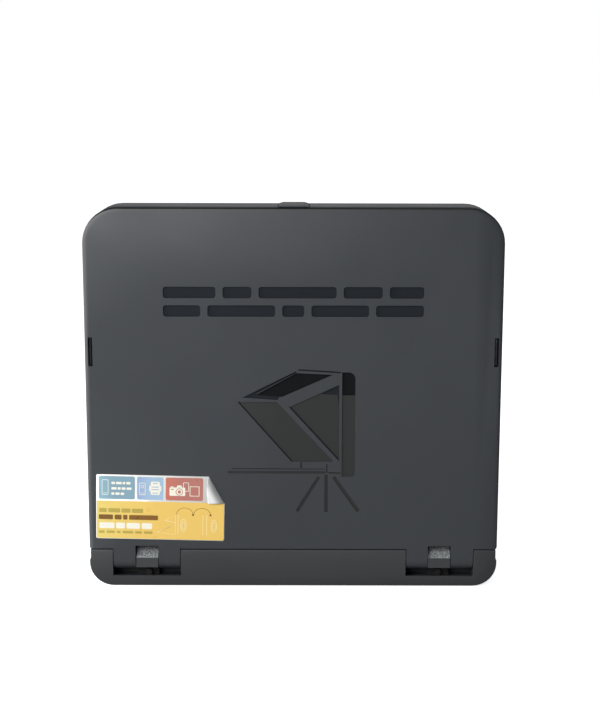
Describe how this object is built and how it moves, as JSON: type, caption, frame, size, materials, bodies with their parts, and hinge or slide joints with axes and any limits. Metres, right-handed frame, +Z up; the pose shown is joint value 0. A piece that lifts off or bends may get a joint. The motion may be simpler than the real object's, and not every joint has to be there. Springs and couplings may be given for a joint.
{
  "type": "folding teleprompter",
  "caption": "Folding teleprompter closed for carrying: flat case whose front cover hinges down as a tablet tray while an angled glass and a fabric hood rise behind it.",
  "frame": {"origin": "middle of the footprint, on the surface the case stands on", "axes": "+X to the right seen from the front cover, +Y from the cover towards the camera side, +Z up"},
  "size_m": [0.248, 0.0446, 0.233],
  "materials": {
    "case_abs": "fine grained charcoal ABS",
    "inner_abs": "matt black ABS",
    "cast_metal": "coarse cast, grey",
    "steel": "bright",
    "magnet": "nickel plated",
    "anodised": "black anodised",
    "rubber": "matt",
    "fabric": "black woven light-proof cloth",
    "felt": "short black pile",
    "elastic": "ribbed elastic webbing",
    "glass": "half-silvered beam splitter",
    "sticker": "printed vinyl, one corner lifted"
  },
  "bodies": {
    "case": {"rear_housing": "case_abs", "base_housing": "case_abs", "base_plate": "inner_abs", "tripod_boss": "anodised", "rubber_foot_1": "rubber", "rubber_foot_2": "rubber", "rubber_foot_3": "rubber", "rubber_foot_4": "rubber", "base_screw_1": "steel", "base_screw_2": "steel", "base_screw_3": "steel", "base_screw_4": "steel", "hinge_block_left": "cast_metal", "hinge_block_right": "cast_metal", "hinge_pin_left": "steel", "hinge_pin_right": "steel", "hinge_screw_left": "steel", "hinge_screw_right": "steel", "glass_pivot_bracket_left": "cast_metal", "glass_pivot_bracket_right": "cast_metal", "glass_pivot_pin_left": "steel", "glass_pivot_pin_right": "steel", "glass_spring_left": "steel", "glass_spring_right": "steel", "hood_retaining_frame": "inner_abs", "hood": "fabric", "lens_ring": "inner_abs", "lens_sleeve": "fabric", "housing_magnet_left": "magnet", "housing_magnet_right": "magnet", "latch_pin": "steel", "latch_spring": "steel", "plate_hinge_pin": "steel", "rear_screw_1": "steel", "rear_screw_2": "steel", "rear_screw_3": "steel", "rear_screw_4": "steel"},
    "tray_cover": {"front_cover": "case_abs", "tray_liner": "felt", "grip_strip_left": "rubber", "grip_strip_right": "rubber", "tablet_strap": "elastic", "strap_anchor_left": "inner_abs", "strap_anchor_right": "inner_abs", "cover_magnet_left": "magnet", "cover_magnet_right": "magnet", "cover_label": "sticker"},
    "glass_carrier": {"glass_frame": "inner_abs", "beam_splitter_glass": "glass", "glass_retainer_top": "inner_abs", "glass_retainer_bottom": "inner_abs", "glass_retainer_left": "inner_abs", "glass_retainer_right": "inner_abs"},
    "latch": {"latch_tab": "case_abs"},
    "support_plate": {"camera_plate": "anodised", "plate_pad": "rubber"},
    "screw_carriage": {"screw_retainer": "steel"},
    "screw": {"camera_screw": "anodised"}
  },
  "joints": [
    {"name": "cover_hinge", "type": "hinge", "parent": "case", "child": "tray_cover", "pos_m": [0, -0.0154, 0.0169], "axis": [1, 0, 0], "range_deg": [0, 90]},
    {"name": "glass_lift", "type": "hinge", "parent": "case", "child": "glass_carrier", "pos_m": [0, -0.009, 0.033], "axis": [1, 0, 0], "range_deg": [0, 45]},
    {"name": "latch_rock", "type": "hinge", "parent": "case", "child": "latch", "pos_m": [0, -0.006, 0.229], "axis": [-1, 0, 0], "range_deg": [0, 8], "stiffness_Nm_per_rad": 0.05, "springref_deg": -5.73, "deforming": ["latch_spring"]},
    {"name": "camera_plate_fold", "type": "hinge", "parent": "case", "child": "support_plate", "pos_m": [0, 0.017, 0.0285], "axis": [-1, 0, 0], "range_deg": [0, 90]},
    {"name": "screw_slide", "type": "slide", "parent": "support_plate", "child": "screw_carriage", "axis": [0, 0, 1], "range_m": [0, 0.05]},
    {"name": "screw_turn", "type": "hinge", "parent": "screw_carriage", "child": "screw", "pos_m": [0, 0.017, 0.065], "axis": [0, 1, 0], "continuous": true}
  ],
  "couplings": [
    {"joint": "glass_lift", "follows": "cover_hinge", "ratio": 0.5}
  ]
}
